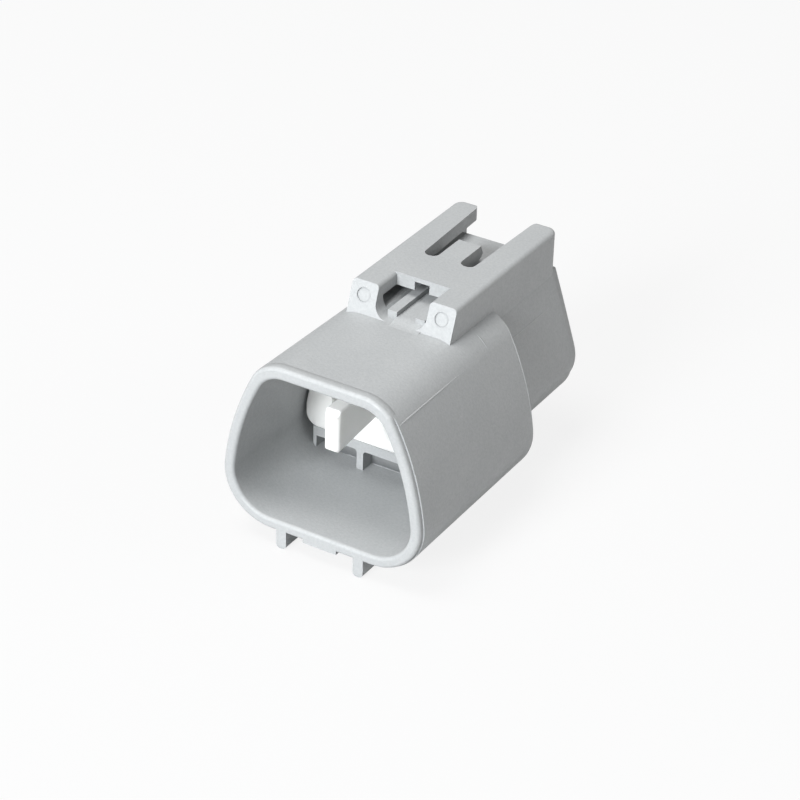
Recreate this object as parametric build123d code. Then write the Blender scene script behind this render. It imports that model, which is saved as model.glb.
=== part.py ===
from build123d import *
import os

# Five-way cap connector: a moulded housing whose hood takes the mating plug, a white front
# retainer that locks the contacts, five tab contacts and their wire seals.
# The frame: the mouth's rim lies on Y = 0 and faces -Y, +X is to the right of someone who looks
# into the mouth, +Z is up, and the origin is the middle of the mouth. Lengths are millimetres.
# Heights named "height" are measured from the floor of the mouth.

# Mouth and hood
mouth_height = 17.1
mouth_top_width = 13.15
mouth_bottom_width = 21.7
side_bulge = 1.32
mouth_top_radius = 3.2
mouth_bottom_radius = 4.5
hood_wall = 1.4
hood_length = 24.0
hood_depth = 15.15
rim_band_width = 0.7
rim_band_step = 0.15
rim_round = 0.4
hood_rear_inset = 0.25
hood_rear_drop = 0.35
hood_rear_bevel = 0.25

# Contact places: two above, three below
contact_pitch = 5.6
lower_row_height = 8.2
row_pitch = 4.6

# Rear body that holds the contacts
overall_length = 38.3
body_bottom_height = 0.95
body_top_height = 16.6
body_top_width = 12.2
body_contact_margin = 5.5
body_bottom_width = 2 * (contact_pitch + body_contact_margin)
body_bulge = 0.1
body_top_radius = 0.5
body_bottom_radius = 5.0
body_end_length = 1.25
body_end_step = 0.3
core_depth = 6.0
pocket_wall = 1.2
rear_core_height = 3.3
rear_core_depth = 7.0
rear_core_width = 3.6
rear_core_rise = 1.9
rear_core_spacing = 5.2
rear_core_round = 0.6

# Ledge under the retainer, and its ribs
ledge_height = 2.4
ledge_thickness = 1.1
ledge_width = 18.7
ledge_front = 13.25
inner_rib_spacing = 6.8
inner_rib_width = 0.8
outer_rib_width = 0.4
rib_round = 0.4

# Contact: tab, box and crimps, and its way from the parked place to the locked one
tab_width = 2.3
tab_thickness = 0.64
tab_tip = 13.6
tab_point = 0.2
box_width = 2.8
box_height = 2.4
box_length = 6.4
sheet = 0.3
strip_length = 3.0
crimp_width = 2.4
crimp_rise = 0.5
wire_crimp_start = 0.6
wire_crimp_length = 1.7
seal_crimp_length = 1.3
contact_travel = 6.0

# Wire seal
seal_bore_radius = 2.1
seal_fit = 0.03
seal_hole_radius = 0.55
seal_neck_fit = 0.02
seal_length = 2.6

# Clearances
cavity_clearance = 0.12
tab_slot_clearance = 0.2
retainer_clearance = 0.3
leg_clearance = 0.1
seat_gap = 0.05
bore_lead_in = 0.3

# How far solids that are joined or cut run past each other
overlap = 1.0

# Front retainer
retainer_plate = 1.6
retainer_travel = 1.2
retainer_width = 20.5
retainer_corner_radius = 1.5
window_width = 2.8
window_height = 2.2
leg_length = 4.0
leg_width = 2.6
leg_thickness = 0.9
lower_leg_height = 5.2
upper_leg_height = 15.7
keel_thickness = 1.6
keel_front = 2.0
keel_bottom_height = 9.4
keel_root_height = 10.0
keel_root_start = 9.2
keel_top_height = 14.15
keel_nose_height = 13.5
keel_bevel = 0.5
keel_round = 0.25

# Bracket on the roof: blocks, bridge, tongue and clip rails
rail_rise = 3.32
bracket_width = 12.6
bracket_foot_height = 17.35
bracket_deep_height = 13.0
block_front = 14.75
block_lean = 1.2
rail_setback = 0.6
rail_end = overall_length - rail_setback
rail_edge_round = 0.5
rail_corner_round = 1.1
notch_width = 6.2
notch_floor_round = 1.6
notch_edge_round = 0.45
bridge_front = 19.45
bridge_thickness = 1.5
tunnel_end = 23.2
side_slot_front = 16.7
side_slot_width = 9.0
side_slot_rise = 0.5
relief_width = 1.8
relief_depth = 1.6
relief_rise = 1.0
lock_bar_places = (-1.33, 2.05)
lock_bar_width = 1.1
lock_bar_height = 0.9
lock_bar_front = 15.75
channel_front = 24.5
channel_front_width = 6.1
channel_rear_width = 7.0
channel_rise = 1.07
slot_round = 0.8
undercut_width = 10.2
undercut_rise = 0.75
undercut_front = 25.5
tongue_width = 2.74
tongue_root = 1.5
tongue_end = 29.4
tongue_lip = 0.45
tongue_lip_drop = 0.95
tongue_wedge_drop = 1.35
tongue_wedge_length = 1.0
tongue_gap = 0.4
roof_end = 34.9
roof_notch_height = 16.3
mark_spacing = 9.45
mark_radius = 0.8
mark_depth = 0.1
mark_rise = 1.92

# Feet and pad below the hood
foot_spacing = 9.45
foot_width = 1.23
foot_rise = 1.83
foot_round = 0.5
foot_length = 22.9
pad_width = 4.1
pad_rise = 0.12
pad_length = 9.0

# Places that follow from the sizes above
floor_z = -mouth_height / 2
roof_fall = (hood_rear_inset + hood_rear_drop) * block_front / hood_length
roof_z = mouth_height / 2 + hood_wall - roof_fall
rail_top_z = roof_z + rail_rise
bridge_bottom_z = rail_top_z - bridge_thickness
channel_floor_z = roof_z + channel_rise
tongue_gap_z = channel_floor_z + tongue_gap
undercut_z = channel_floor_z + undercut_rise
ledge_top_z = floor_z + ledge_height + ledge_thickness
retainer_end = ledge_front + retainer_plate
pocket_end = retainer_end + retainer_travel + seat_gap
bulkhead_end = pocket_end + pocket_wall
box_front = bulkhead_end + seat_gap + contact_travel
box_end = box_front + box_length
strip_end = box_end + strip_length
crimp_end = strip_end + seal_crimp_length
bore_front = strip_end - contact_travel - seat_gap
core_front = hood_length - core_depth
lower_z = floor_z + lower_row_height
upper_z = lower_z + row_pitch
contact_places = [
    (-contact_pitch / 2, upper_z),
    (contact_pitch / 2, upper_z),
    (-contact_pitch, lower_z),
    (0, lower_z),
    (contact_pitch, lower_z),
]
leg_places = [
    (-contact_pitch / 2, floor_z + upper_leg_height),
    (contact_pitch / 2, floor_z + upper_leg_height),
    (-contact_pitch, floor_z + lower_leg_height),
    (contact_pitch, floor_z + lower_leg_height),
]
backwards = (0, 1, 0)


def prism(section, start, end):
    """A section drawn as (x, z), carried along Y from start to end."""
    upright = Pos(0, start, 0) * (Plane.XZ * section)
    return extrude(upright, amount=end - start, dir=backwards)


def slab(profile, width):
    """A side profile drawn as (y, z), carried along X to both sides of the middle plane."""
    return extrude(Plane.YZ * profile, amount=width / 2, both=True)


def column(plan, low, high):
    """A plan drawn as (x, y), carried up from one height to another."""
    return extrude(Pos(0, 0, low) * plan, amount=high - low, dir=(0, 0, 1))


def rod(place, radius, start, end):
    """A round rod along Y at a place (x, z)."""
    return prism(Pos(*place) * Circle(radius), start, end)


def bar(place, width, height, start, end):
    """A rectangular bar along Y at a place (x, z)."""
    return prism(Pos(*place) * Rectangle(width, height), start, end)


def block(low, high):
    """A rectangular block between two corners."""
    size = [b - a for a, b in zip(low, high)]
    centre = [(a + b) / 2 for a, b in zip(low, high)]
    return Pos(*centre) * Box(*size)


def crowned_trapezoid(widths, heights, bulge, radii):
    """Section with a flat top and floor, sides that lean in and swell, and round corners."""
    bottom_width, top_width = widths
    bottom, top = heights
    bottom_radius, top_radius = radii
    right_foot = (bottom_width / 2, bottom)
    right_head = (top_width / 2, top)
    left_head = (-top_width / 2, top)
    left_foot = (-bottom_width / 2, bottom)
    outline = [
        Line(left_foot, right_foot),
        SagittaArc(right_foot, right_head, -bulge),
        Line(right_head, left_head),
        SagittaArc(left_head, left_foot, -bulge),
    ]
    section = make_face(outline)
    section = fillet(section.vertices().group_by(Axis.Y)[-1], top_radius)
    return fillet(section.vertices().group_by(Axis.Y)[0], bottom_radius)


def mouth_section(growth=0.0):
    """The inside of the hood, grown outwards on every side."""
    section = crowned_trapezoid(
        (mouth_bottom_width, mouth_top_width),
        (floor_z, floor_z + mouth_height),
        side_bulge,
        (mouth_bottom_radius, mouth_top_radius),
    )
    return offset(section, growth) if growth else section


def body_section(growth=0.0):
    """The outside of the rear body, grown outwards on every side."""
    section = crowned_trapezoid(
        (body_bottom_width, body_top_width),
        (floor_z + body_bottom_height, floor_z + body_top_height),
        body_bulge,
        (body_bottom_radius, body_top_radius),
    )
    return offset(section, growth) if growth else section


def pocket_section():
    """The part of the mouth above the ledge, where the retainer sits."""
    centre_z = ledge_top_z + mouth_height / 2
    return mouth_section() & Pos(0, centre_z) * Rectangle(2 * mouth_bottom_width, mouth_height)


def flared_slot(widths, ends, edge_radius):
    """A slot drawn upwards, as wide as asked at its foot and mouth, with rounded mouth edges."""
    foot_width, mouth_width = widths
    low, high = ends
    reach = mouth_width / 2 + 2 * edge_radius
    right = [(foot_width / 2, low), (mouth_width / 2, high), (reach, high), (reach, high + overlap)]
    left = [(-x, y) for x, y in reversed(right)]
    section = make_face(Polyline(*right, *left, close=True))
    edges = section.vertices().group_by(Axis.Y)[-2].sort_by(Axis.X)[1:3]
    return fillet(edges, edge_radius)


def hood():
    """The hood: stepped and rounded rim, tapering shell, hollow mouth and the wall behind it."""
    rear_section = Pos(0, -hood_rear_drop) * mouth_section(hood_wall - hood_rear_inset)
    front = Pos(0, rim_band_width, 0) * (Plane.XZ * mouth_section(hood_wall))
    rear = Pos(0, hood_length, 0) * (Plane.XZ * rear_section)
    shell = loft([front.face(), rear.face()], ruled=True)
    shell = chamfer(shell.edges().group_by(Axis.Y)[-1], hood_rear_bevel)
    shell -= prism(mouth_section(), 0, hood_depth)
    shell -= prism(pocket_section(), hood_depth - overlap, pocket_end)
    rim = prism(mouth_section(hood_wall - rim_band_step), 0, rim_band_width)
    rim -= prism(mouth_section(), 0, rim_band_width)
    rim = fillet(rim.edges().group_by(Axis.Y)[0], rim_round)
    return shell + rim


def rear_body():
    """The body behind the hood, with a slightly smaller last band."""
    body = prism(body_section(), pocket_end, overall_length - body_end_length)
    return body + prism(body_section(-body_end_step), pocket_end, overall_length)


def hood_core():
    """The groove between hood and body, open to the rear, that keeps the walls even."""
    ring = prism(mouth_section(), core_front, hood_length)
    return ring - prism(body_section(), core_front, hood_length)


def bracket_blank():
    """The bracket before its channels are cut: a slab with leaning front and rounded edges."""
    foot_z = floor_z + bracket_foot_height
    deep_z = floor_z + bracket_deep_height
    lean_rate = block_lean / rail_rise
    profile = make_face(
        Polyline(
            (block_front - lean_rate * (roof_z - foot_z), foot_z),
            (block_front + block_lean, rail_top_z),
            (rail_end, rail_top_z),
            (rail_end, deep_z),
            (core_front, deep_z),
            (core_front, foot_z),
            close=True,
        )
    )
    blank = slab(profile, bracket_width)
    blank = fillet(blank.edges().filter_by(Axis.Z).group_by(Axis.Y)[-1], rail_corner_round)
    upper = blank.edges().group_by(Axis.Z)[-1].sort_by(Axis.Y)[1:]
    return fillet(upper, rail_edge_round)


def front_notch():
    """The notch between the blocks, the tunnel below the bridge, its side slots and relief."""
    section = flared_slot((notch_width, notch_width), (roof_z, rail_top_z), notch_edge_round)
    section = fillet(section.vertices().group_by(Axis.Y)[0], notch_floor_round)
    low_part = Pos(0, bridge_bottom_z - rail_rise) * Rectangle(notch_width, 2 * rail_rise)
    start = block_front - 2 * overlap
    notch = prism(section, start, bridge_front)
    tunnel = prism(section & low_part, start, tunnel_end)
    side = side_slot_width / 2
    low = (-side, side_slot_front, roof_z + side_slot_rise)
    slots = block(low, (side, tunnel_end, bridge_bottom_z))
    low = (-relief_width / 2, bridge_front - overlap, bridge_bottom_z - relief_rise)
    high = (relief_width / 2, bridge_front + relief_depth, bridge_bottom_z + relief_rise)
    return notch + tunnel + slots + block(low, high)


def clip_channel():
    """The channel between the rails, its undercuts and the drop behind the roof."""
    widths = (channel_front_width, channel_rear_width)
    plan = flared_slot(widths, (channel_front, rail_end), rail_corner_round)
    root = Pos(0, channel_front) * Rectangle(tongue_width, 2 * tongue_root)
    slots = plan - root
    slots = fillet(slots.vertices().group_by(Axis.Y)[0], slot_round)
    plan = fillet(plan.vertices().group_by(Axis.Y)[0], slot_round)
    channel = column(slots, tongue_gap_z, rail_top_z + overlap)
    channel += column(plan, channel_floor_z, tongue_gap_z)
    wide = undercut_width / 2
    undercut = block(
        (-wide, undercut_front, channel_floor_z), (wide, overall_length + overlap, undercut_z)
    )
    drop = block(
        (-wide, roof_end, floor_z + roof_notch_height), (wide, overall_length + overlap, undercut_z)
    )
    return channel + undercut + drop


def tongue():
    """The wedge-ended tongue that stands back from the bridge over the channel."""
    profile = make_face(
        Polyline(
            (channel_front - overlap, rail_top_z),
            (tongue_end, rail_top_z),
            (tongue_end + tongue_lip, rail_top_z - tongue_lip_drop),
            (tongue_end + tongue_lip / 4, rail_top_z - tongue_wedge_drop),
            (tongue_end - tongue_wedge_length, tongue_gap_z),
            (channel_front - overlap, tongue_gap_z),
            close=True,
        )
    )
    return slab(profile, tongue_width)


def lock_bars():
    """The two low bars on the hood's roof that run into the tunnel."""
    bars = []
    z = roof_z + lock_bar_height / 2 - hood_wall / 4
    height = lock_bar_height + hood_wall / 2
    for x in lock_bar_places:
        bars.append(bar((x, z), lock_bar_width, height, lock_bar_front, tunnel_end + overlap))
    return bars


def pin_marks():
    """The two shallow round ejector marks on the leaning front faces of the blocks."""
    marks = []
    slope = block_lean / rail_rise
    origin = (0, block_front + slope * mark_rise, roof_z + mark_rise)
    face = Plane(origin=origin, x_dir=(1, 0, 0), z_dir=(0, -1, slope))
    for side in (-1, 1):
        disc = Pos(side * mark_spacing / 2, 0, 0) * Circle(mark_radius)
        marks.append(extrude(face * disc, amount=mark_depth, both=True))
    return marks


def ledge():
    """The ledge below the retainer, with ribs down to the floor and rounded roots."""
    low_z = floor_z + ledge_height
    pieces = [
        block((-ledge_width / 2, ledge_front, low_z), (ledge_width / 2, pocket_end, ledge_top_z))
    ]
    for side in (-1, 1):
        rib = side * inner_rib_spacing / 2
        outer = side * (ledge_width - outer_rib_width) / 2
        for x, width in ((rib, inner_rib_width), (outer, outer_rib_width)):
            low = (x - width / 2, ledge_front, floor_z - hood_wall / 4)
            pieces.append(block(low, (x + width / 2, pocket_end, low_z)))
    whole = pieces[0].fuse(*pieces[1:])
    roots = [
        e
        for e in whole.edges().filter_by(Axis.Y)
        if abs(e.center().Z - low_z) < 1e-3
        and abs(abs(e.center().X) - inner_rib_spacing / 2) < inner_rib_width
    ]
    return fillet(roots, rib_round)


def feet():
    """The two rounded feet and the thin pad on the underside of the hood."""
    pieces = []
    embed = hood_wall / 2
    for side in (-1, 1):
        height = foot_rise + embed
        z = floor_z - hood_wall - foot_rise + height / 2
        section = Pos(side * foot_spacing / 2, z) * Rectangle(foot_width, height)
        section = fillet(section.vertices().group_by(Axis.Y)[0], foot_round)
        foot = prism(section, 0, foot_length)
        pieces.append(foot)
    low = (-pad_width / 2, 0, floor_z - hood_wall - pad_rise)
    pieces.append(block(low, (pad_width / 2, pad_length, floor_z - embed)))
    return pieces


def contact_cavities():
    """Everything that is cut for the contacts: bores, box passages, tab slots."""
    cuts = []
    for place in contact_places:
        cuts.append(rod(place, seal_bore_radius, bore_front, overall_length + overlap))
        width = box_width + 2 * cavity_clearance
        height = box_height + 2 * cavity_clearance
        cuts.append(bar(place, width, height, bulkhead_end, bore_front + overlap))
        width = tab_width + 2 * tab_slot_clearance
        height = tab_thickness + 2 * tab_slot_clearance
        cuts.append(bar(place, width, height, pocket_end - overlap, bulkhead_end + overlap))
    return cuts


def leg_slots():
    """The slots that the retainer's legs run in."""
    end = retainer_end + leg_length + retainer_travel + leg_clearance
    width = leg_width + 2 * leg_clearance
    height = leg_thickness + 2 * leg_clearance
    return [bar(place, width, height, pocket_end - overlap, end) for place in leg_places]


def rear_cores():
    """Blind pockets in the rear face that keep the lower wall from being too thick."""
    cuts = []
    z = floor_z + rear_core_height + rear_core_rise / 2
    for side in (-1, 0, 1):
        section = Pos(side * rear_core_spacing, z) * Rectangle(rear_core_width, rear_core_rise)
        section = fillet(section.vertices(), rear_core_round)
        cuts.append(prism(section, overall_length - rear_core_depth, overall_length + overlap))
    return cuts


def housing():
    """The moulded housing as one solid."""
    solid = hood() - hood_core()
    solid += rear_body()
    roof = bracket_blank() - front_notch() - clip_channel()
    roof = roof + tongue()
    solid = solid + roof
    low = (-undercut_width / 2, roof_end, floor_z + roof_notch_height)
    solid -= block(low, (undercut_width / 2, overall_length + overlap, undercut_z))
    solid = solid.fuse(*lock_bars(), ledge(), *feet())
    solid -= prism(mouth_section(), 0, ledge_front - overlap)
    solid = solid.cut(*contact_cavities(), *leg_slots(), *rear_cores(), *pin_marks())
    rounds = solid.edges().filter_by(GeomType.CIRCLE)
    bores = [e for e in rounds if abs(e.radius - seal_bore_radius) < 1e-6]
    mouths = [e for e in bores if abs(e.arc_center.Y - overall_length) < 1e-6]
    return chamfer(mouths, bore_lead_in)


def retainer_keel():
    """The keel that stands out of the retainer's face, with bevelled nose and round edges."""
    profile = make_face(
        Polyline(
            (keel_front, floor_z + keel_bottom_height),
            (keel_front, floor_z + keel_nose_height),
            (keel_front + keel_bevel, floor_z + keel_top_height),
            (ledge_front + overlap, floor_z + keel_top_height),
            (ledge_front + overlap, floor_z + keel_root_height),
            (keel_root_start, floor_z + keel_root_height),
            close=True,
        )
    )
    keel = slab(profile, keel_thickness)
    nose = keel.faces().group_by(Axis.Y)[0].edges()
    return fillet(nose, keel_round)


def terminal_retainer():
    """The white retainer as one solid: plate, windows, keel and guide legs."""
    base_z = ledge_top_z + seat_gap
    base = Pos(0, base_z + mouth_height / 2) * Rectangle(retainer_width, mouth_height)
    base = fillet(base.vertices().group_by(Axis.Y)[0], retainer_corner_radius)
    section = mouth_section(-retainer_clearance) & base
    plate = prism(section, ledge_front, retainer_end)
    for place in contact_places:
        start, end = ledge_front - overlap, retainer_end + overlap
        plate -= bar(place, window_width, window_height, start, end)
    legs = []
    leg_end = retainer_end + leg_length
    for place in leg_places:
        legs.append(bar(place, leg_width, leg_thickness, retainer_end - overlap, leg_end))
    return plate.fuse(retainer_keel(), *legs)


def contact(place):
    """One contact: tab with bevelled tip, folded box, strip, and wings round wire and seal."""
    x, z = place
    tab = bar(place, tab_width, tab_thickness, tab_tip, box_front + overlap)
    tab = chamfer(tab.edges().group_by(Axis.Y)[0], tab_point)
    box = bar(place, box_width, box_height, box_front, box_end)
    box -= bar(place, box_width - 2 * sheet, box_height - 2 * sheet, box_front + sheet, box_end)
    strip_z = z - (box_height - sheet) / 2
    strip = bar((x, strip_z), crimp_width, sheet, box_end - overlap, crimp_end)
    wire_crimp = box_end + wire_crimp_start
    wing_height = box_height / 2 + crimp_rise
    wing_z = z + crimp_rise - wing_height / 2
    wings = []
    for side in (-1, 1):
        wing_x = x + side * (crimp_width - sheet) / 2
        for start, end in ((wire_crimp, wire_crimp + wire_crimp_length), (strip_end, crimp_end)):
            wings.append(bar((wing_x, wing_z), sheet, wing_height, start, end))
    return tab.fuse(box, strip, *wings)


def wire_seal(place):
    """One wire seal: neck between the contact's wings, sleeve in the bore, hole for the wire."""
    body_start = crimp_end + seat_gap
    body_end = body_start + seal_length
    neck_radius = crimp_width / 2 - sheet - seal_neck_fit
    neck = rod(place, neck_radius, strip_end + seat_gap, body_start + overlap)
    sleeve = rod(place, seal_bore_radius - seal_fit, body_start, body_end)
    return neck + sleeve - rod(place, seal_hole_radius, strip_end, body_end + overlap)


def main():
    """Write every piece to its own file."""
    os.makedirs("parts", exist_ok=True)
    export_step(housing(), "parts/housing.step")
    export_step(terminal_retainer(), "parts/terminal_retainer.step")
    for number, place in enumerate(contact_places, start=1):
        export_step(contact(place), f"parts/contact_{number}.step")
        export_step(wire_seal(place), f"parts/wire_seal_{number}.step")


main()
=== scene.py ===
import math
import bmesh
import bpy
import numpy as np
from mathutils import Matrix, Vector


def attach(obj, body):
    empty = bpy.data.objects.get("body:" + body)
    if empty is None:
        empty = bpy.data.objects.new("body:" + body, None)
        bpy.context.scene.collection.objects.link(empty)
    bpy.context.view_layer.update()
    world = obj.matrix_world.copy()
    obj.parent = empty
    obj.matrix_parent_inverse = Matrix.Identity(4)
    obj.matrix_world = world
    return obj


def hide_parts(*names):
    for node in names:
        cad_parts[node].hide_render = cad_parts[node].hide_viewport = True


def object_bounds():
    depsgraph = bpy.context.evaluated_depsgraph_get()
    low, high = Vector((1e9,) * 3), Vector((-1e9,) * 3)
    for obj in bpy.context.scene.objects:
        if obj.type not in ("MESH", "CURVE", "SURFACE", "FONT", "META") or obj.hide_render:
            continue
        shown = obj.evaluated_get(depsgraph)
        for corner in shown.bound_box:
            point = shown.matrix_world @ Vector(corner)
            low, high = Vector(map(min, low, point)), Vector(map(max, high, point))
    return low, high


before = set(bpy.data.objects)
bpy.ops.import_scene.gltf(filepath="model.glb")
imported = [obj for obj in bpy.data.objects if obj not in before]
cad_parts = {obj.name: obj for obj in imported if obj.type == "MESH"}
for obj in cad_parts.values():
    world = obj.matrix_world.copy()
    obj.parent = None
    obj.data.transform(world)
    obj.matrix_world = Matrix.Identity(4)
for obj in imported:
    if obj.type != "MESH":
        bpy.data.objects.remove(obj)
cad_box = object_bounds()


# Housing.
# A one-piece moulding of pale grey glass-filled polyester: hood, rear body, clip bracket and feet.
# It comes out of the tool with a fine matt skin, faint flow clouds and slightly polished edges.
# Its material also paints a highlight on the edges and shade in the hollows.

housing_edge_round = 0.00006
housing_edge_angle = 35


def new_group(name, inputs, outputs):
    """An empty shader group with the inputs and outputs named, and its two end nodes."""
    group = bpy.data.node_groups.new(name, "ShaderNodeTree")
    for label, kind, value in inputs:
        socket = group.interface.new_socket(label, in_out="INPUT", socket_type=kind)
        socket.default_value = value
    for label, kind in outputs:
        group.interface.new_socket(label, in_out="OUTPUT", socket_type=kind)
    return group, group.nodes.new("NodeGroupInput"), group.nodes.new("NodeGroupOutput")


def add_noise(tree, vector, scale, detail, rough=0.55):
    """A noise field on the given vector; scale is cycles per metre."""
    node = tree.nodes.new("ShaderNodeTexNoise")
    node.inputs["Detail"].default_value = detail
    node.inputs["Roughness"].default_value = rough
    tree.links.new(vector, node.inputs["Vector"])
    if isinstance(scale, float):
        node.inputs["Scale"].default_value = scale
    else:
        tree.links.new(scale, node.inputs["Scale"])
    return node.outputs["Fac"]


def add_math(tree, kind, *values):
    """A math node whose inputs are sockets or plain numbers."""
    node = tree.nodes.new("ShaderNodeMath")
    node.operation = kind
    for place, value in enumerate(values):
        if isinstance(value, (int, float)):
            node.inputs[place].default_value = value
        else:
            tree.links.new(value, node.inputs[place])
    return node.outputs[0]


def add_range(tree, value, low, high, to_low, to_high):
    """Maps a value from one range to another, clamped."""
    node = tree.nodes.new("ShaderNodeMapRange")
    tree.links.new(value, node.inputs["Value"])
    limits = (("From Min", low), ("From Max", high), ("To Min", to_low), ("To Max", to_high))
    for name, number in limits:
        node.inputs[name].default_value = number
    return node.outputs["Result"]


def add_spread(tree, noise, to_low, to_high):
    """Maps the middle of a noise field, where nearly all of it lies, to a range."""
    noise_low, noise_high = 0.3, 0.7
    return add_range(tree, noise, noise_low, noise_high, to_low, to_high)


def add_blend(tree, factor, first, second):
    """Mixes two colours, from the first at a factor of 0 to the second at 1."""
    node = tree.nodes.new("ShaderNodeMix")
    node.data_type = "RGBA"
    factor_place, first_place, second_place = 0, 6, 7
    for value, place in ((factor, factor_place), (first, first_place), (second, second_place)):
        if isinstance(value, tuple):
            node.inputs[place].default_value = value
        else:
            tree.links.new(value, node.inputs[place])
    return node.outputs[2]


def moulded_skin():
    """Group for moulded plastic: cloudy tone, spark-eroded grain, masks for specks and scuffs,
    and masks for a painted highlight and painted shade.

    The edge mask rises where a rounded normal turns away from the true one; it polishes the edges
    and paints a highlight on them. The crevice mask rises where near surfaces close a place in,
    and paints shade there. Specks are the peaks of a fine noise. Scuffs are the peaks of a coarse
    noise, broken up by a finer one.
    """
    fleck_scale, fleck_start, fleck_full = 3500.0, 0.70, 0.76
    edge_start, edge_full = 0.98, 0.80
    rub_scale, rub_start, rub_full = 330.0, 0.655, 0.70
    break_scale, break_start, break_full = 2300.0, 0.50, 0.60
    hollow_reach, hollow_start, hollow_full = 0.0007, 0.85, 0.35
    group, source, sink = new_group(
        "moulded_skin",
        [
            ("Cloud Scale", "NodeSocketFloat", 220.0),
            ("Grain Scale", "NodeSocketFloat", 9000.0),
            ("Edge Width", "NodeSocketFloat", 0.0002),
        ],
        [
            ("Cloud", "NodeSocketFloat"),
            ("Grain", "NodeSocketFloat"),
            ("Edge Polish And Painted Highlight", "NodeSocketFloat"),
            ("Specks", "NodeSocketFloat"),
            ("Painted Crevice Shade", "NodeSocketFloat"),
            ("Scuffs", "NodeSocketFloat"),
        ],
    )
    place = group.nodes.new("ShaderNodeTexCoord").outputs["Object"]
    cloud = add_noise(group, place, source.outputs["Cloud Scale"], detail=5.0)
    grain = add_noise(group, place, source.outputs["Grain Scale"], detail=2.0, rough=0.7)
    fleck = add_noise(group, place, fleck_scale, detail=1.0)
    rub = add_noise(group, place, rub_scale, detail=6.0, rough=0.75)
    gaps = add_noise(group, place, break_scale, detail=3.0)

    # The edge mask, from the bevel's normal, polishes the edges and paints a highlight on them.
    bevel = group.nodes.new("ShaderNodeBevel")
    bevel.samples = 6
    group.links.new(source.outputs["Edge Width"], bevel.inputs["Radius"])
    normal = group.nodes.new("ShaderNodeNewGeometry").outputs["Normal"]
    agreement = group.nodes.new("ShaderNodeVectorMath")
    agreement.operation = "DOT_PRODUCT"
    group.links.new(bevel.outputs["Normal"], agreement.inputs[0])
    group.links.new(normal, agreement.inputs[1])

    # Ambient occlusion for the crevice mask, which paints shade into the hollows.
    hollow = group.nodes.new("ShaderNodeAmbientOcclusion")
    hollow.samples = 6
    hollow.inputs["Distance"].default_value = hollow_reach

    rubbed = add_range(group, rub, rub_start, rub_full, 0.0, 1.0)
    broken = add_range(group, gaps, break_start, break_full, 0.0, 1.0)
    results = {
        "Cloud": add_spread(group, cloud, 0.0, 1.0),
        "Grain": grain,
        "Edge Polish And Painted Highlight": add_range(group, agreement.outputs["Value"], edge_start, edge_full, 0.0, 1.0),
        "Specks": add_range(group, fleck, fleck_start, fleck_full, 0.0, 1.0),
        "Painted Crevice Shade": add_range(group, hollow.outputs["AO"], hollow_full, hollow_start, 1.0, 0.0),
        "Scuffs": add_math(group, "MULTIPLY", rubbed, broken),
    }
    for label, result in results.items():
        group.links.new(result, sink.inputs[label])
    return group


skin_group = moulded_skin()


def start_material(name):
    """A new material with its node tree and Principled shader."""
    material = bpy.data.materials.new(name)
    material.use_nodes = True
    return material, material.node_tree, material.node_tree.nodes["Principled BSDF"]


def place_skin(tree, cloud_scale, grain_scale, edge_width):
    """The moulded skin group placed in a material with this piece's own values."""
    node = tree.nodes.new("ShaderNodeGroup")
    node.node_tree = skin_group
    node.inputs["Cloud Scale"].default_value = cloud_scale
    node.inputs["Grain Scale"].default_value = grain_scale
    node.inputs["Edge Width"].default_value = edge_width
    return node.outputs


def add_bump(tree, shader, height, distance, strength):
    """Feeds a height into the shader's normal."""
    bump = tree.nodes.new("ShaderNodeBump")
    bump.inputs["Distance"].default_value = distance
    bump.inputs["Strength"].default_value = strength
    tree.links.new(height, bump.inputs["Height"])
    tree.links.new(bump.outputs["Normal"], shader.inputs["Normal"])


def grey_polyester(name, lift):
    """Pale grey matt plastic with faint clouds and specks, a painted highlight on the edges and
    painted shade in the hollows.

    The two cloud colours are multiplied by the lift. The mask colours then lie over them in turn,
    each as strongly as its mask times its share.
    """
    cloud_low, cloud_high = (0.396, 0.406, 0.410), (0.420, 0.429, 0.432)
    grain_grey, grain_share, grain_start, grain_full = (0.30, 0.312, 0.318, 1.0), 0.34, 0.35, 0.65
    masks = (
        # The edge mask lays a lighter grey on the edges: a painted highlight.
        ("Edge Polish And Painted Highlight", 0.35, (0.48, 0.492, 0.50, 1.0)),
        ("Specks", 0.3, (0.30, 0.30, 0.29, 1.0)),
        ("Scuffs", 0.35, (0.60, 0.605, 0.61, 1.0)),
        # The crevice mask lays a darker grey in the hollows: painted shade.
        ("Painted Crevice Shade", 0.4, (0.21, 0.225, 0.23, 1.0)),
    )
    rough_low, rough_high, edge_polish = 0.44, 0.60, 0.08

    material, tree, shader = start_material(name)
    skin = place_skin(tree, cloud_scale=160.0, grain_scale=3400.0, edge_width=0.00022)
    low = tuple(lift * part for part in cloud_low) + (1.0,)
    high = tuple(lift * part for part in cloud_high) + (1.0,)
    tone = add_blend(tree, skin["Cloud"], low, high)
    mottle = add_range(tree, skin["Grain"], grain_start, grain_full, 0.0, grain_share)
    tone = add_blend(tree, mottle, tone, grain_grey)
    for mask, share, grey in masks:
        tone = add_blend(tree, add_math(tree, "MULTIPLY", skin[mask], share), tone, grey)
    tree.links.new(tone, shader.inputs["Base Color"])
    rough = add_spread(tree, skin["Grain"], rough_low, rough_high)
    polish = add_math(tree, "MULTIPLY", skin["Edge Polish And Painted Highlight"], edge_polish)
    tree.links.new(add_math(tree, "SUBTRACT", rough, polish), shader.inputs["Roughness"])
    shader.inputs["Specular IOR Level"].default_value = 0.45
    add_bump(tree, shader, skin["Grain"], distance=0.00004, strength=0.55)
    return material


def dress(node, material):
    """Puts a material on every slot of a CAD node."""
    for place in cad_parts[node].material_slots:
        place.material = material


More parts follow.
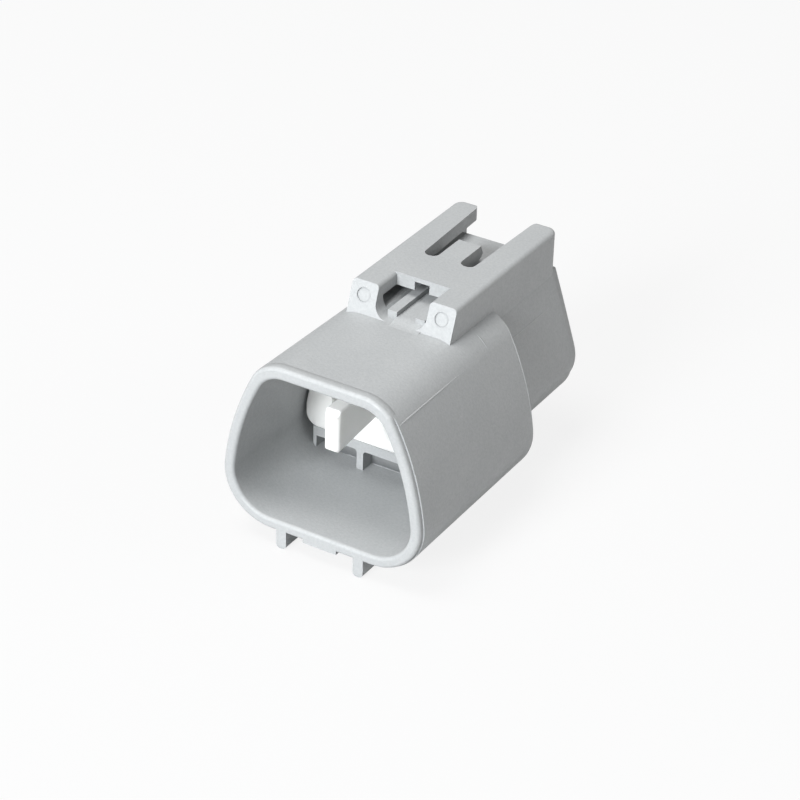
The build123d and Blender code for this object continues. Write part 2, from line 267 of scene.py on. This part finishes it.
def soften(node, width, angle):
    """A small rounding on the edges of a CAD node that are sharper than the angle in degrees."""
    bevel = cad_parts[node].modifiers.new("soft edges", "BEVEL")
    bevel.width = width
    bevel.segments = 2
    bevel.limit_method = "ANGLE"
    bevel.angle_limit = math.radians(angle)
    bevel.harden_normals = True


housing_skin = grey_polyester("grey_polyester", lift=1.0)
dress("housing", housing_skin)
soften("housing", housing_edge_round, housing_edge_angle)


# Parting and step lines.
# The slides of the tool leave a fine raised line on both flanks of the hood and of the rear body.
# A shorter line crosses each shoulder of the hood, and all are part of the moulding. The hood's
# flank lines are dressed lighter, a painted highlight, and the shoulder lines darker, painted
# shade.

hood_line_reach, hood_line_side, hood_line_level = (0.0009, 0.0150), 0.00862, 0.00746
body_line_reach, body_line_side, body_line_level = (0.0242, 0.0366), 0.0072, 0.0047
step_line_turns, step_line_place = (34, 47), 0.0190
step_line_radius, step_line_axis = 0.0125, -0.001
hood_line_count, body_line_count, step_line_count = 50, 40, 30
hood_line_size, fine_line_size = (0.00016, 0.00004), (0.00014, 0.00003)
hood_line_ends, soft_ends = (0.04, 0.4), (0.3, 0.3)


def skin_rings(name, rings, material, closed=False):
    """A closed surface through rings of points, an array of rings by points by x, y, z.

    Neighbouring points of neighbouring rings make the four corners of a face. The first and last
    ring are closed with a flat face each, or joined to each other where closed is set.
    """
    count, size = rings.shape[:2]
    near = np.arange(count if closed else count - 1)[:, None] * size
    point = np.arange(size)[None, :]
    after = (point + 1) % size
    far = (near + size) % (count * size)
    corners = [near + point, near + after, far + after, far + point]
    faces = np.stack(corners, axis=2).reshape(-1, 4).tolist()
    if not closed:
        faces.append(list(range(size - 1, -1, -1)))
        faces.append(list(range((count - 1) * size, count * size)))
    mesh = bpy.data.meshes.new(name)
    mesh.from_pydata(rings.reshape(-1, 3).tolist(), [], faces)
    mesh.materials.append(material)
    mesh.polygons.foreach_set("use_smooth", np.ones(len(faces), dtype=bool))
    shell = bmesh.new()
    shell.from_mesh(mesh)
    bmesh.ops.recalc_face_normals(shell, faces=shell.faces)
    shell.to_mesh(mesh)
    shell.free()
    piece = bpy.data.objects.new(name, mesh)
    bpy.context.collection.objects.link(piece)
    return piece


def straight_guide(reach, side, level, count):
    """Evenly spaced points along Y, at one distance to the side and one height."""
    return np.column_stack([
        np.full(count, side),
        np.linspace(*reach, count),
        np.full(count, level),
    ])


def arched_guide(turns, radius, axis_level, place, count, side=1):
    """Points on an arc across the housing, at one place along Y.

    At angle a they lie radius times sin a to the given side, and radius times cos a above the axis.
    """
    turn = np.radians(np.linspace(*turns, count))
    return np.column_stack([
        side * radius * np.sin(turn),
        np.full(count, place),
        axis_level + radius * np.cos(turn),
    ])


def on_housing(points):
    """The nearest places on the housing's surface to some points, and the directions out of it."""
    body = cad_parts["housing"]
    turned = body.matrix_world.inverted()
    hits = [body.closest_point_on_mesh(turned @ Vector(p)) for p in points]
    places = np.array([body.matrix_world @ hit[1] for hit in hits])
    return places, np.array([hit[2] for hit in hits])


def bead(name, points, outward, size, material, ends=soft_ends):
    """A thin half-round bead along a line on a surface; size is its width and its height.

    Each ring is half an ellipse as wide as the bead and as high as it, standing on the surface,
    with its foot sunk one height below it. Width and height swell in and fade out over the ends,
    each a share of the length.
    """
    width, height = size
    thinnest, arc_count = 0.05, 9
    ahead = np.gradient(points, axis=0)
    ahead /= np.linalg.norm(ahead, axis=1)[:, None]
    outward = outward - ahead * (outward * ahead).sum(1)[:, None]
    outward /= np.linalg.norm(outward, axis=1)[:, None]
    across = np.cross(ahead, outward)
    turn = np.linspace(0, math.pi, arc_count)
    side = np.append(np.cos(turn), [-1.0, 1.0]) * width / 2
    rise = np.append(np.sin(turn), [-1.0, -1.0]) * height
    reach = np.linspace(0, 1, len(points))
    fade = np.clip(np.minimum(reach / ends[0], (1 - reach) / ends[1]), thinnest, 1)[:, None]
    shift = across[:, None] * (side * fade)[..., None]
    lift = outward[:, None] * (rise * fade)[..., None]
    return skin_rings(name, points[:, None] + shift + lift, material)


def moulding_line(name, guide, size, material, ends=soft_ends):
    """A bead on the housing, on the places of its surface nearest to the guide's points."""
    places, outward = on_housing(guide)
    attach(bead(name, places, outward, size, material, ends), "shell")


# A lighter copy of the housing plastic: a painted highlight on the lines it dresses.
highlight_skin = grey_polyester("grey_polyester_painted_highlight", lift=1.13)
# A darker copy of the housing plastic: painted shade on the shoulder lines and ejector rings.
groove_shade_skin = grey_polyester("grey_polyester_painted_groove_shade", lift=0.72)

for side in (-1, 1):
    line = straight_guide(
        hood_line_reach, side * hood_line_side, hood_line_level, hood_line_count
    )
    name = f"hood_parting_line_{side}"
    moulding_line(name, line, hood_line_size, highlight_skin, hood_line_ends)

    line = straight_guide(
        body_line_reach, side * body_line_side, body_line_level, body_line_count
    )
    moulding_line(f"body_parting_line_{side}", line, fine_line_size, housing_skin)

    arc = arched_guide(
        step_line_turns, step_line_radius, step_line_axis, step_line_place, step_line_count, side
    )
    # The shoulder line is dressed darker: painted shade.
    moulding_line(f"hood_step_line_{side}", arc, fine_line_size, groove_shade_skin)


# Upper rim.
# Between the parting lines the hood has no outer step: its front edge rounds into the roof.
# The cavity insert leaves one short witness line across it, part of the same moulding.

witness_side, witness_round, witness_level = 0.00145, 0.0004, 0.0094
witness_size, witness_count = (0.00022, 0.00002), 12
rim_turn, rim_count = 49, 121
rim_guide_radius, rim_guide_place = 0.013, 0.0011
rim_round, rim_round_count, rim_drop = 0.00045, 9, 0.000436
rim_run_out = np.array([
    [0.0007, 0.000013], [0.0012, 0.000002], [0.00125, -0.00003], [0.0012, -0.0004],
    [0.0003, -0.0007],
])
rim_sink, rim_sink_turn = 0.00016, 5


def witness_guide():
    """A quarter circle over the rim's edge, from the roof's direction down to the front face."""
    turn = np.linspace(0, math.pi / 2, witness_count)
    return np.column_stack([
        np.full(witness_count, witness_side),
        witness_round - witness_round * np.sin(turn),
        witness_level + witness_round * np.cos(turn),
    ])


def rim_blend():
    """The round upper edge of the hood, the same profile carried round it on the roof's surface.

    The profile is a quarter circle from the front face up to the roof, then a run out that ends
    under the surface, given as places along Y and heights over the roof. Over the last angles at
    both ends it sinks below the surface.
    """
    degrees = np.linspace(-rim_turn, rim_turn, rim_count)
    guide = arched_guide((-rim_turn, rim_turn), rim_guide_radius, 0.0, rim_guide_place, rim_count)
    place, outward = on_housing(guide)
    outward[:, 1] = 0
    outward /= np.linalg.norm(outward, axis=1)[:, None]
    turn = np.linspace(0, math.pi / 2, rim_round_count)
    along = np.append(rim_round - rim_round * np.cos(turn), rim_run_out[:, 0])
    level = np.append(rim_round * np.sin(turn) - rim_drop, rim_run_out[:, 1])
    late = np.clip((np.abs(degrees) - rim_turn + rim_sink_turn) / rim_sink_turn, 0, 1)
    height = level[None, :] - rim_sink * late[:, None]
    rings = place[:, None] + outward[:, None] * height[..., None]
    rings[:, :, 1] = along[None]
    return skin_rings("rim_blend", rings, housing_skin)


moulding_line("rim_witness_line", witness_guide(), witness_size, housing_skin)
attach(rim_blend(), "shell")


# Ejector marks.
# Round pins push the finished moulding out of the tool at the leaning fronts of the two blocks.
# Each leaves a disc, which the solid has, and a thin ring of the same plastic round it, dressed
# darker as painted shade in its groove.

block_lean, block_rise = 1.2, 3.32
mark_side, mark_place, mark_level = 0.004725, 0.015444, 0.0115
mark_radius, mark_half_width, mark_height = 0.00080, 0.00006, 0.00002
mark_turn_count, mark_arc_count = 48, 7


def ejector_ring(name, centre):
    """A thin ring on a block's leaning front: half an ellipse, carried round a circle on it."""
    length = math.hypot(block_lean, block_rise)
    up_slope = np.array([0.0, block_lean, block_rise]) / length
    off_slope = np.array([0.0, -block_rise, block_lean]) / length
    turn = np.linspace(0, 2 * math.pi, mark_turn_count, endpoint=False)[:, None]
    spoke = np.cos(turn) * np.array([1.0, 0.0, 0.0]) + np.sin(turn) * up_slope
    arc = np.linspace(0, math.pi, mark_arc_count)
    inward = np.append(np.cos(arc), [-1.0, 1.0]) * mark_half_width
    rise = np.append(np.sin(arc), [-1.0, -1.0]) * mark_height
    reach = spoke[:, None] * (mark_radius - inward)[None, :, None]
    rings = centre + reach + off_slope * rise[None, :, None]
    # The ring is dressed darker: painted shade.
    return skin_rings(name, rings, groove_shade_skin, closed=True)


for side in (-1, 1):
    centre = np.array([side * mark_side, mark_place, mark_level])
    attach(ejector_ring(f"ejector_ring_{side}", centre), "shell")


# Notch floor.
# Beside the left lock bar the floor of the notch lies a little higher than the hood's roof.
# It is part of the moulding, and rises from the roof over a slow ramp.

notch_roof, notch_foot = 0.00958, 0.0090
notch_front, notch_rear = 0.0138, 0.0230
notch_across = np.array([-0.00080, 0.0010, 0.00268])
notch_crease = 40
ramp_start, ramp_end, ramp_length, ramp_rise = 0.0139, 0.0164, 0.0024, 0.00036
ramp_count = 14
tail_start, tail_rate, tail_sink = 0.01475, 0.025, 0.00004


def raised_floor():
    """The notch floor, a long block whose top follows a ramp.

    The ramp is a smooth step, three times the square less twice the cube of the share passed. In
    front the top follows the roof's slope, and its first edge is sunk into the roof.
    """
    along = np.append(np.linspace(notch_front, ramp_end, ramp_count), notch_rear)
    share = np.clip((along - ramp_start) / ramp_length, 0, 1)
    top = notch_roof + ramp_rise * share * share * (3 - 2 * share)
    top += tail_rate * np.maximum(tail_start - along, 0) - tail_sink * (along < ramp_start)
    rings = np.empty((len(along), 6, 3))
    rings[:, :3, 0], rings[:, 3:, 0] = notch_across, notch_across[::-1]
    rings[:, :, 1] = along[:, None]
    rings[:, :3, 2], rings[:, 3:, 2] = notch_foot, top[:, None]
    piece = skin_rings("notch_floor", rings, housing_skin)
    piece.data.set_sharp_from_angle(angle=math.radians(notch_crease))
    return piece


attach(raised_floor(), "shell")


# Hollow under the ledge.
# A thin dark plate in front of the wall under the ledge, and a dark line at its foot: painted
# shade, so that the shallow wall reads as a deep hollow in the ledge's shadow.

hollow_half_width, hollow_half_height, hollow_level = 0.0091, 0.001185, -0.007355
liner_front, liner_rear = 0.01503, 0.01514
foot_half_width, foot_place, foot_level = 0.0062, 0.01502, -0.00853
foot_size, foot_ends, foot_count = (0.00018, 0.00003), (0.02, 0.02), 40


def painted_shade_plate():
    """A thin dark plate in front of the wall under the ledge, painted shade: one rectangle, carried
    back along Y.
    """
    side = np.array([-1, 1, 1, -1]) * hollow_half_width
    level = np.array([1, 1, -1, -1]) * hollow_half_height + hollow_level
    rings = np.empty((2, 4, 3))
    rings[:, :, 0] = side
    rings[:, :, 1] = [[liner_front], [liner_rear]]
    rings[:, :, 2] = level
    return skin_rings("ledge_painted_shade_plate", rings, shade_skin)


def painted_shade_line():
    """A dark line where the wall meets the floor, painted shade: a straight bead across the mouth.
    """
    line = np.column_stack([
        np.linspace(-foot_half_width, foot_half_width, foot_count),
        np.full(foot_count, foot_place),
        np.full(foot_count, foot_level),
    ])
    outward = np.tile([0.0, -0.7, 0.7], (foot_count, 1))
    return bead("ledge_painted_shade_line", line, outward, foot_size, shade_skin, foot_ends)


shade_skin = grey_polyester("grey_polyester_shaded", lift=0.5)
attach(painted_shade_plate(), "shell")
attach(painted_shade_line(), "shell")


# Rear crease of the hood.
# A fine line round each flank, where the tool leaves the hood's rear edge, dressed lighter as a
# painted highlight along it.
# It is part of the moulding, and ends softly on the roof and under the flank.

crease_turns, crease_count = (38, 118), 70
crease_radius, crease_axis, crease_place = 0.0125, -0.0005, 0.02368

for side in (-1, 1):
    arc = arched_guide(
        crease_turns, crease_radius, crease_axis, crease_place, crease_count, side
    )
    moulding_line(f"hood_rear_crease_{side}", arc, fine_line_size, highlight_skin)


# Front terminal retainer.
# A white moulded plate with a keel, windows and guide legs, in unfilled polyester.
# It is pushed into the mouth until it sits on the ledge, and goes further in to lock the contacts.

retainer_edge_round = 0.00014
retainer_edge_angle = 40
mouth_floor = -0.00855
keel_nose, keel_slope_start, keel_root = 0.00192, 0.0020, 0.01335
keel_stations = [0.00246, 0.0026, 0.0092, keel_root]
keel_half_width, keel_nose_round, keel_corner = 0.00088, 0.0005, 0.00027
keel_nose_count, keel_corner_count = 10, 7
keel_top, keel_bevel_height, keel_bevel_rate = 0.01423, 0.013631, 1.3
keel_top_draw = 0.6
keel_low, keel_slope_length, keel_slope_rate = 0.00932, 0.0072, 12


def white_polyester():
    """Bright white plastic, a little smoother than the housing, that lets some light through."""
    low, high = (0.84, 0.84, 0.82, 1.0), (0.90, 0.90, 0.885, 1.0)
    speck_tone, speck_share = (0.70, 0.69, 0.66, 1.0), 0.12
    rough_low, rough_high = 0.34, 0.46
    material, tree, shader = start_material("white_polyester")
    skin = place_skin(tree, cloud_scale=300.0, grain_scale=9000.0, edge_width=0.00015)
    tone = add_blend(tree, skin["Cloud"], low, high)
    specks = add_math(tree, "MULTIPLY", skin["Specks"], speck_share)
    tree.links.new(add_blend(tree, specks, tone, speck_tone), shader.inputs["Base Color"])
    rough = add_spread(tree, skin["Grain"], rough_low, rough_high)
    tree.links.new(rough, shader.inputs["Roughness"])
    shader.inputs["Subsurface Weight"].default_value = 0.6
    shader.inputs["Subsurface Radius"].default_value = (1.0, 1.0, 1.0)
    shader.inputs["Subsurface Scale"].default_value = 0.0009
    add_bump(tree, shader, skin["Grain"], distance=0.00002, strength=0.2)
    return material


def round_keel():
    """The keel's polished outside, with a nose rounder than the plain one under it.

    Each ring across the keel is a rectangle with round corners, its heights measured from the
    mouth's floor, and runs from its last corner back to its first. Sides, top and bottom draw in
    along a quarter circle towards the nose, the top also follows the bevel, the bottom its slope.
    """
    turn = np.linspace(0, math.pi / 2, keel_nose_count)
    along = np.append(keel_nose + keel_nose_round * (1 - np.cos(turn)), keel_stations)
    inset = np.append(keel_nose_round * (1 - np.sin(turn)), np.zeros(len(keel_stations)))
    past = along - keel_slope_start
    half = keel_half_width - inset
    top = np.minimum(keel_top, keel_bevel_height + keel_bevel_rate * past) - keel_top_draw * inset
    low = keel_low + np.minimum(past, keel_slope_length) / keel_slope_rate + inset
    quarter = np.linspace(0, math.pi / 2, keel_corner_count)
    turn = np.concatenate([quarter + corner * math.pi / 2 for corner in range(4)])[::-1]
    sign_x = np.repeat([1, -1, -1, 1], keel_corner_count)
    upper = np.repeat([False, False, True, True], keel_corner_count)
    radius = np.minimum(keel_corner, half)[:, None]
    rings = np.empty((len(along), len(turn), 3))
    rings[:, :, 0] = sign_x * (half[:, None] - radius) + radius * np.cos(turn)
    rings[:, :, 1] = along[:, None]
    middle = np.where(upper, top[:, None] - radius, low[:, None] + radius)
    rings[:, :, 2] = middle + radius * np.sin(turn) + mouth_floor
    return skin_rings("keel_skin", rings, white_skin)


white_skin = white_polyester()
dress("terminal_retainer", white_skin)
soften("terminal_retainer", retainer_edge_round, retainer_edge_angle)
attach(round_keel(), "retainer")


# Contacts.
# Each is stamped from brass strip, folded into a box behind a flat tab, and plated with tin.
# The plating is pale, a little cloudy, and brushed along the strip by the rolls.

contact_pitch, upper_row, lower_row = 0.0056, 0.00425, -0.00035
contact_places = [
    (-contact_pitch / 2, upper_row),
    (contact_pitch / 2, upper_row),
    (-contact_pitch, lower_row),
    (0.0, lower_row),
    (contact_pitch, lower_row),
]
strip_thickness, strip_fold, strip_count = 0.0003, 0.00035, 61
box_height, box_half_width, neck_half_width = 0.0024, 0.00140, 0.00120
box_strip, wing_strip, floor_strip = 0.00655, 0.00282, 0.00125
box_cut, wire_wing_cut, seal_wing_cut = 0.00008, 0.00020, 0.00015
blade_corner, blade_count = 0.00010, 48


def tin_plate():
    """Pale metal with soft lengthwise rolling lines and cloudy tarnish."""
    low, high = (0.62, 0.61, 0.585, 1.0), (0.74, 0.73, 0.71, 1.0)
    rough_low, rough_high = 0.24, 0.42
    line_stretch = 0.03
    material, tree, shader = start_material("tin_plate")
    place = tree.nodes.new("ShaderNodeTexCoord").outputs["Object"]
    stretch = tree.nodes.new("ShaderNodeMapping")
    stretch.inputs["Scale"].default_value = (1.0, line_stretch, 1.0)
    tree.links.new(place, stretch.inputs["Vector"])
    lines = add_noise(tree, stretch.outputs["Vector"], scale=9000.0, detail=3.0)
    cloud = add_noise(tree, place, scale=700.0, detail=4.0)
    tree.links.new(add_blend(tree, cloud, low, high), shader.inputs["Base Color"])
    shader.inputs["Metallic"].default_value = 1.0
    rough = add_spread(tree, lines, rough_low, rough_high)
    tree.links.new(rough, shader.inputs["Roughness"])
    add_bump(tree, shader, lines, distance=0.00001, strength=0.25)
    return material


def folded_section(half_width, half_length):
    """Rings of a folded sheet, one for each half width and half length of the flat strip.

    Along the strip's middle line the direction turns by a right angle over an arc of the radius,
    runs up the wall, and turns by a right angle once more to fold over the top. Each ring goes
    along the outer face and back along the inner one, half a sheet to either side of that line.
    """
    radius, sheet, height = strip_fold, strip_thickness, box_height
    part = np.linspace(-1, 1, strip_count)
    length = np.abs(part)[None, :] * half_length[:, None]
    flat = (half_width - sheet / 2 - radius)[:, None]
    wall = height - sheet - 2 * radius
    quarter = math.pi / 2
    first = np.clip((length - flat) / radius, 0, quarter)
    rise = np.clip(length - flat - radius * quarter, 0, wall)
    second = np.clip((length - flat - radius * quarter - wall) / radius, 0, quarter)
    over = np.maximum(length - flat - 2 * radius * quarter - wall, 0)
    out = np.minimum(length, flat) + radius * np.sin(first)
    side = np.sign(part)[None, :]
    x = (out - radius * (1 - np.cos(second)) - over) * side
    z = radius * (1 - np.cos(first)) + rise + radius * np.sin(second) - (height - sheet) / 2
    turn = first + second
    shift_x, shift_z = np.sin(turn) * side * sheet / 2, -np.cos(turn) * sheet / 2
    x = np.concatenate([x + shift_x, (x - shift_x)[:, ::-1]], axis=1)
    z = np.concatenate([z + shift_z, (z - shift_z)[:, ::-1]], axis=1)
    return x, z


def through_stations(name, x, z, along, centre):
    """A surface through sections x and z, one for each place along Y, round a contact's middle."""
    y = np.broadcast_to(along[:, None], x.shape)
    return skin_rings(name, np.stack([centre[0] + x, y, centre[1] + z], axis=2), tin)


def contact_box(name, centre):
    """The folded box with its seam on top, and the wings for wire and seal, from one strip.

    A row holds a place along Y, the half width of the base and the half length of the flat strip.
    """
    stations = np.array([
        [0.02335, box_half_width, box_strip - box_cut],
        [0.02340, box_half_width, box_strip],
        [0.02970, box_half_width, box_strip],
        [0.02975, box_half_width, box_strip - box_cut],
        [0.02985, 0.00132, floor_strip],
        [0.03030, neck_half_width, floor_strip],
        [0.03036, neck_half_width, wing_strip - wire_wing_cut],
        [0.03046, neck_half_width, wing_strip],
        [0.03196, neck_half_width, wing_strip],
        [0.03206, neck_half_width, wing_strip - wire_wing_cut],
        [0.03212, neck_half_width, floor_strip],
        [0.03268, neck_half_width, floor_strip],
        [0.03276, neck_half_width, wing_strip - seal_wing_cut],
        [0.03284, neck_half_width, wing_strip],
        [0.03397, neck_half_width, wing_strip],
        [0.03405, neck_half_width, wing_strip - seal_wing_cut],
    ])
    x, z = folded_section(stations[:, 1], stations[:, 2])
    return through_stations(name, x, z, stations[:, 0], centre)


def contact_blade(name, centre):
    """The tab: a coined bar, in section a rectangle with round corners that shrinks at the tip.

    A row holds a place along Y, the half width and the half thickness. At angle a the section lies
    at its corner's middle plus the corner's radius times cos a and sin a.
    """
    corner = blade_corner
    stations = np.array([
        [0.01360, 0.00096, 0.00012],
        [0.01366, 0.00104, 0.00018],
        [0.01395, 0.00112, 0.00027],
        [0.01430, 0.00115, 0.00032],
        [0.02410, 0.00115, 0.00032],
        [0.02412, 0.00112, 0.00030],
    ])
    turn = np.linspace(0, 2 * math.pi, blade_count, endpoint=False)[None, :]
    x = np.sign(np.cos(turn)) * (stations[:, 1:2] - corner) + corner * np.cos(turn)
    z = np.sign(np.sin(turn)) * (stations[:, 2:3] - corner) + corner * np.sin(turn)
    return through_stations(name, x, z, stations[:, 0], centre)


tin = tin_plate()

for number, centre in enumerate(contact_places, start=1):
    dress(f"contact_{number}", tin)
    box = contact_box(f"contact_box_{number}", centre)
    blade = contact_blade(f"contact_blade_{number}", centre)
    for piece in (box, blade):
        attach(piece, f"terminal_{number}")
    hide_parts(f"contact_{number}")


# Wire seals.
# Soft silicone sleeves with round lips, one on each contact, that close the bores round the wires.
# They have a dull, slightly dusty skin.

seal_start, seal_end, seal_front = 0.0341, 0.0367, 0.03281
seal_core, seal_turn_count = 0.00166, 72
lip_height, lip_count, lip_power, lip_margin, lip_point_count = 0.00040, 3, 0.7, 0.00005, 61
seal_neck_outline = np.array([
    [0.00150, seal_start],
    [0.00092, seal_start - 0.00006],
    [0.00088, 0.03400],
    [0.00088, 0.03290],
    [0.00082, seal_front],
])
seal_hole_outline = np.array([
    [0.00060, seal_front],
    [0.00055, 0.03290],
    [0.00055, 0.0362],
    [0.00080, 0.03668],
    [0.00095, seal_end],
    [0.0015, seal_end],
])


def silicone():
    """Dull blue silicone with a dusty bloom."""
    low, high = (0.030, 0.085, 0.155, 1.0), (0.050, 0.115, 0.195, 1.0)
    rough_low, rough_high = 0.50, 0.66
    material, tree, shader = start_material("silicone")
    skin = place_skin(tree, cloud_scale=900.0, grain_scale=12000.0, edge_width=0.0001)
    tree.links.new(add_blend(tree, skin["Cloud"], low, high), shader.inputs["Base Color"])
    rough = add_spread(tree, skin["Grain"], rough_low, rough_high)
    tree.links.new(rough, shader.inputs["Roughness"])
    shader.inputs["Sheen Weight"].default_value = 0.2
    add_bump(tree, shader, skin["Grain"], distance=0.00002, strength=0.3)
    return material


def turned_profile(name, profile, centre, material):
    """A surface turned round an axis along Y.

    The profile is a closed loop of radius and y. It is carried once round the axis through centre,
    so that a point of radius r at angle a lies r sin a to the side and r cos a up.
    """
    turn = np.linspace(0, 2 * math.pi, seal_turn_count, endpoint=False)[:, None]
    radius, y = profile[:, 0][None, :], profile[:, 1][None, :]
    x = centre[0] + radius * np.sin(turn)
    z = centre[1] + radius * np.cos(turn)
    return skin_rings(name, np.stack([x, y + 0 * turn, z], axis=2), material, closed=True)


def seal_profile():
    """The outline of a wire seal: round lips, shoulder and front neck, hole and rear funnel.

    Along the lips the radius follows a cosine with one wave a lip, raised to a power under one
    that makes the lips broad, from the core to the lip's top.
    """
    y = np.linspace(seal_end - lip_margin, seal_start + lip_margin, lip_point_count)
    share = (y - seal_start) / (seal_end - seal_start)
    wave = 0.5 - 0.5 * np.cos(2 * math.pi * lip_count * share)
    lips = np.column_stack([seal_core + lip_height * wave ** lip_power, y])
    return np.vstack([lips, seal_neck_outline, seal_hole_outline])


seal_skin = silicone()

for number, centre in enumerate(contact_places, start=1):
    seal = turned_profile(f"seal_{number}", seal_profile(), centre, seal_skin)
    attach(seal, f"terminal_{number}")
    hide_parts(f"wire_seal_{number}")


# Camera.
# It stands where the photograph was taken from, above and to the right of the mouth.
# It is rolled by a degree or two, as the photograph is.

camera_round, camera_above, camera_roll = np.radians([30.5571, 31.2193, 1.71122])
camera_target = np.array([-0.00194977, 0.0189, -0.00219437])
camera_distance = 0.290495
camera_lens, camera_sensor, camera_nearest = 121.5, 36.0, 0.01


def stand(item, place, right, up, back):
    """Puts a camera or lamp at a place; its three directions are the columns of its turn."""
    bpy.context.collection.objects.link(item)
    turned = np.eye(4)
    turned[:3] = np.column_stack([right, up, back, place])
    item.matrix_world = Matrix(turned.tolist())


camera_back = np.array([
    math.sin(camera_round) * math.cos(camera_above),
    -math.cos(camera_round) * math.cos(camera_above),
    math.sin(camera_above),
])
level_right = np.array([math.cos(camera_round), math.sin(camera_round), 0.0])
level_up = np.cross(camera_back, level_right)
camera_right = math.cos(camera_roll) * level_right + math.sin(camera_roll) * level_up
camera_up = np.cross(camera_back, camera_right)
camera_place = camera_target + camera_back * camera_distance
camera_data = bpy.data.cameras.new("camera")
camera_data.lens = camera_lens
camera_data.sensor_width = camera_sensor
camera_data.clip_start = camera_nearest
camera = bpy.data.objects.new("camera", camera_data)
stand(camera, camera_place, camera_right, camera_up, camera_back)
bpy.context.scene.camera = camera


# Floor.
# A plain pale sheet under the feet, wide enough to fill the picture.
# To the camera it glows nearly white, while the object's shadow still shows on it.

floor_level = cad_box[0][2]
floor_half = 3.0
floor_grey, floor_rough, floor_shine, floor_glow = 0.55, 0.9, 0.1, 0.85

floor_corners = [(-1, -1), (1, -1), (1, 1), (-1, 1)]
floor_points = [(floor_half * x, floor_half * y, floor_level) for x, y in floor_corners]
floor_mesh = bpy.data.meshes.new("floor")
floor_mesh.from_pydata(floor_points, [], [(0, 1, 2, 3)])
floor = bpy.data.objects.new("floor", floor_mesh)
bpy.context.collection.objects.link(floor)
floor_material, tree, shader = start_material("floor")
shader.inputs["Base Color"].default_value = (floor_grey, floor_grey, floor_grey, 1.0)
shader.inputs["Roughness"].default_value = floor_rough
shader.inputs["Specular IOR Level"].default_value = floor_shine
glow = tree.nodes.new("ShaderNodeEmission")
glow.inputs["Color"].default_value = (1.0, 1.0, 1.0, 1.0)
path = tree.nodes.new("ShaderNodeLightPath")
mix = tree.nodes.new("ShaderNodeMixShader")
seen = add_math(tree, "MULTIPLY", path.outputs["Is Camera Ray"], floor_glow)
tree.links.new(seen, mix.inputs[0])
tree.links.new(shader.outputs[0], mix.inputs[1])
tree.links.new(glow.outputs[0], mix.inputs[2])
tree.links.new(mix.outputs[0], tree.nodes["Material Output"].inputs["Surface"])
floor_mesh.materials.append(floor_material)


# Lamps and sky.
# A broad key lamp shines from the front into the mouth, one from above lights the roof, and a
# weak one lights the right flank. The sky fills the shadows, and shows white to the camera.

cool, neutral = (0.955, 0.98, 1.0), (1.0, 0.995, 0.985)
lamp_aim = np.array([0.0, 0.015, 0.0])
sky_strength = 0.14


def area_lamp(name, place, size, power, tint):
    """A square lamp at a place, turned towards the middle of the object."""
    data = bpy.data.lights.new(name, "AREA")
    data.size = size
    data.energy = power
    data.color = tint
    back = np.array(place) - lamp_aim
    back /= np.linalg.norm(back)
    right = np.cross([0, 0, 1], back)
    right /= np.linalg.norm(right)
    stand(bpy.data.objects.new(name, data), place, right, np.cross(back, right), back)


area_lamp("key_lamp", (-0.06, -0.71, 0.33), size=0.28, power=9.0, tint=cool)
area_lamp("top_lamp", (-0.18, -0.14, 0.77), size=0.40, power=4.9, tint=neutral)
area_lamp("side_lamp", (0.62, 0.28, 0.30), size=0.40, power=1.3, tint=neutral)

world = bpy.data.worlds.new("world")
bpy.context.scene.world = world
world.use_nodes = True
tree = world.node_tree
sky = tree.nodes["Background"]
sky.inputs["Color"].default_value = (1.0, 1.0, 1.0, 1.0)
path = tree.nodes.new("ShaderNodeLightPath")
seen = add_math(
    tree, "MAXIMUM", path.outputs["Is Camera Ray"], path.outputs["Is Transmission Ray"]
)
tree.links.new(add_range(tree, seen, 0.0, 1.0, sky_strength, 1.0), sky.inputs["Strength"])

bpy.context.scene.view_settings.view_transform = "Standard"
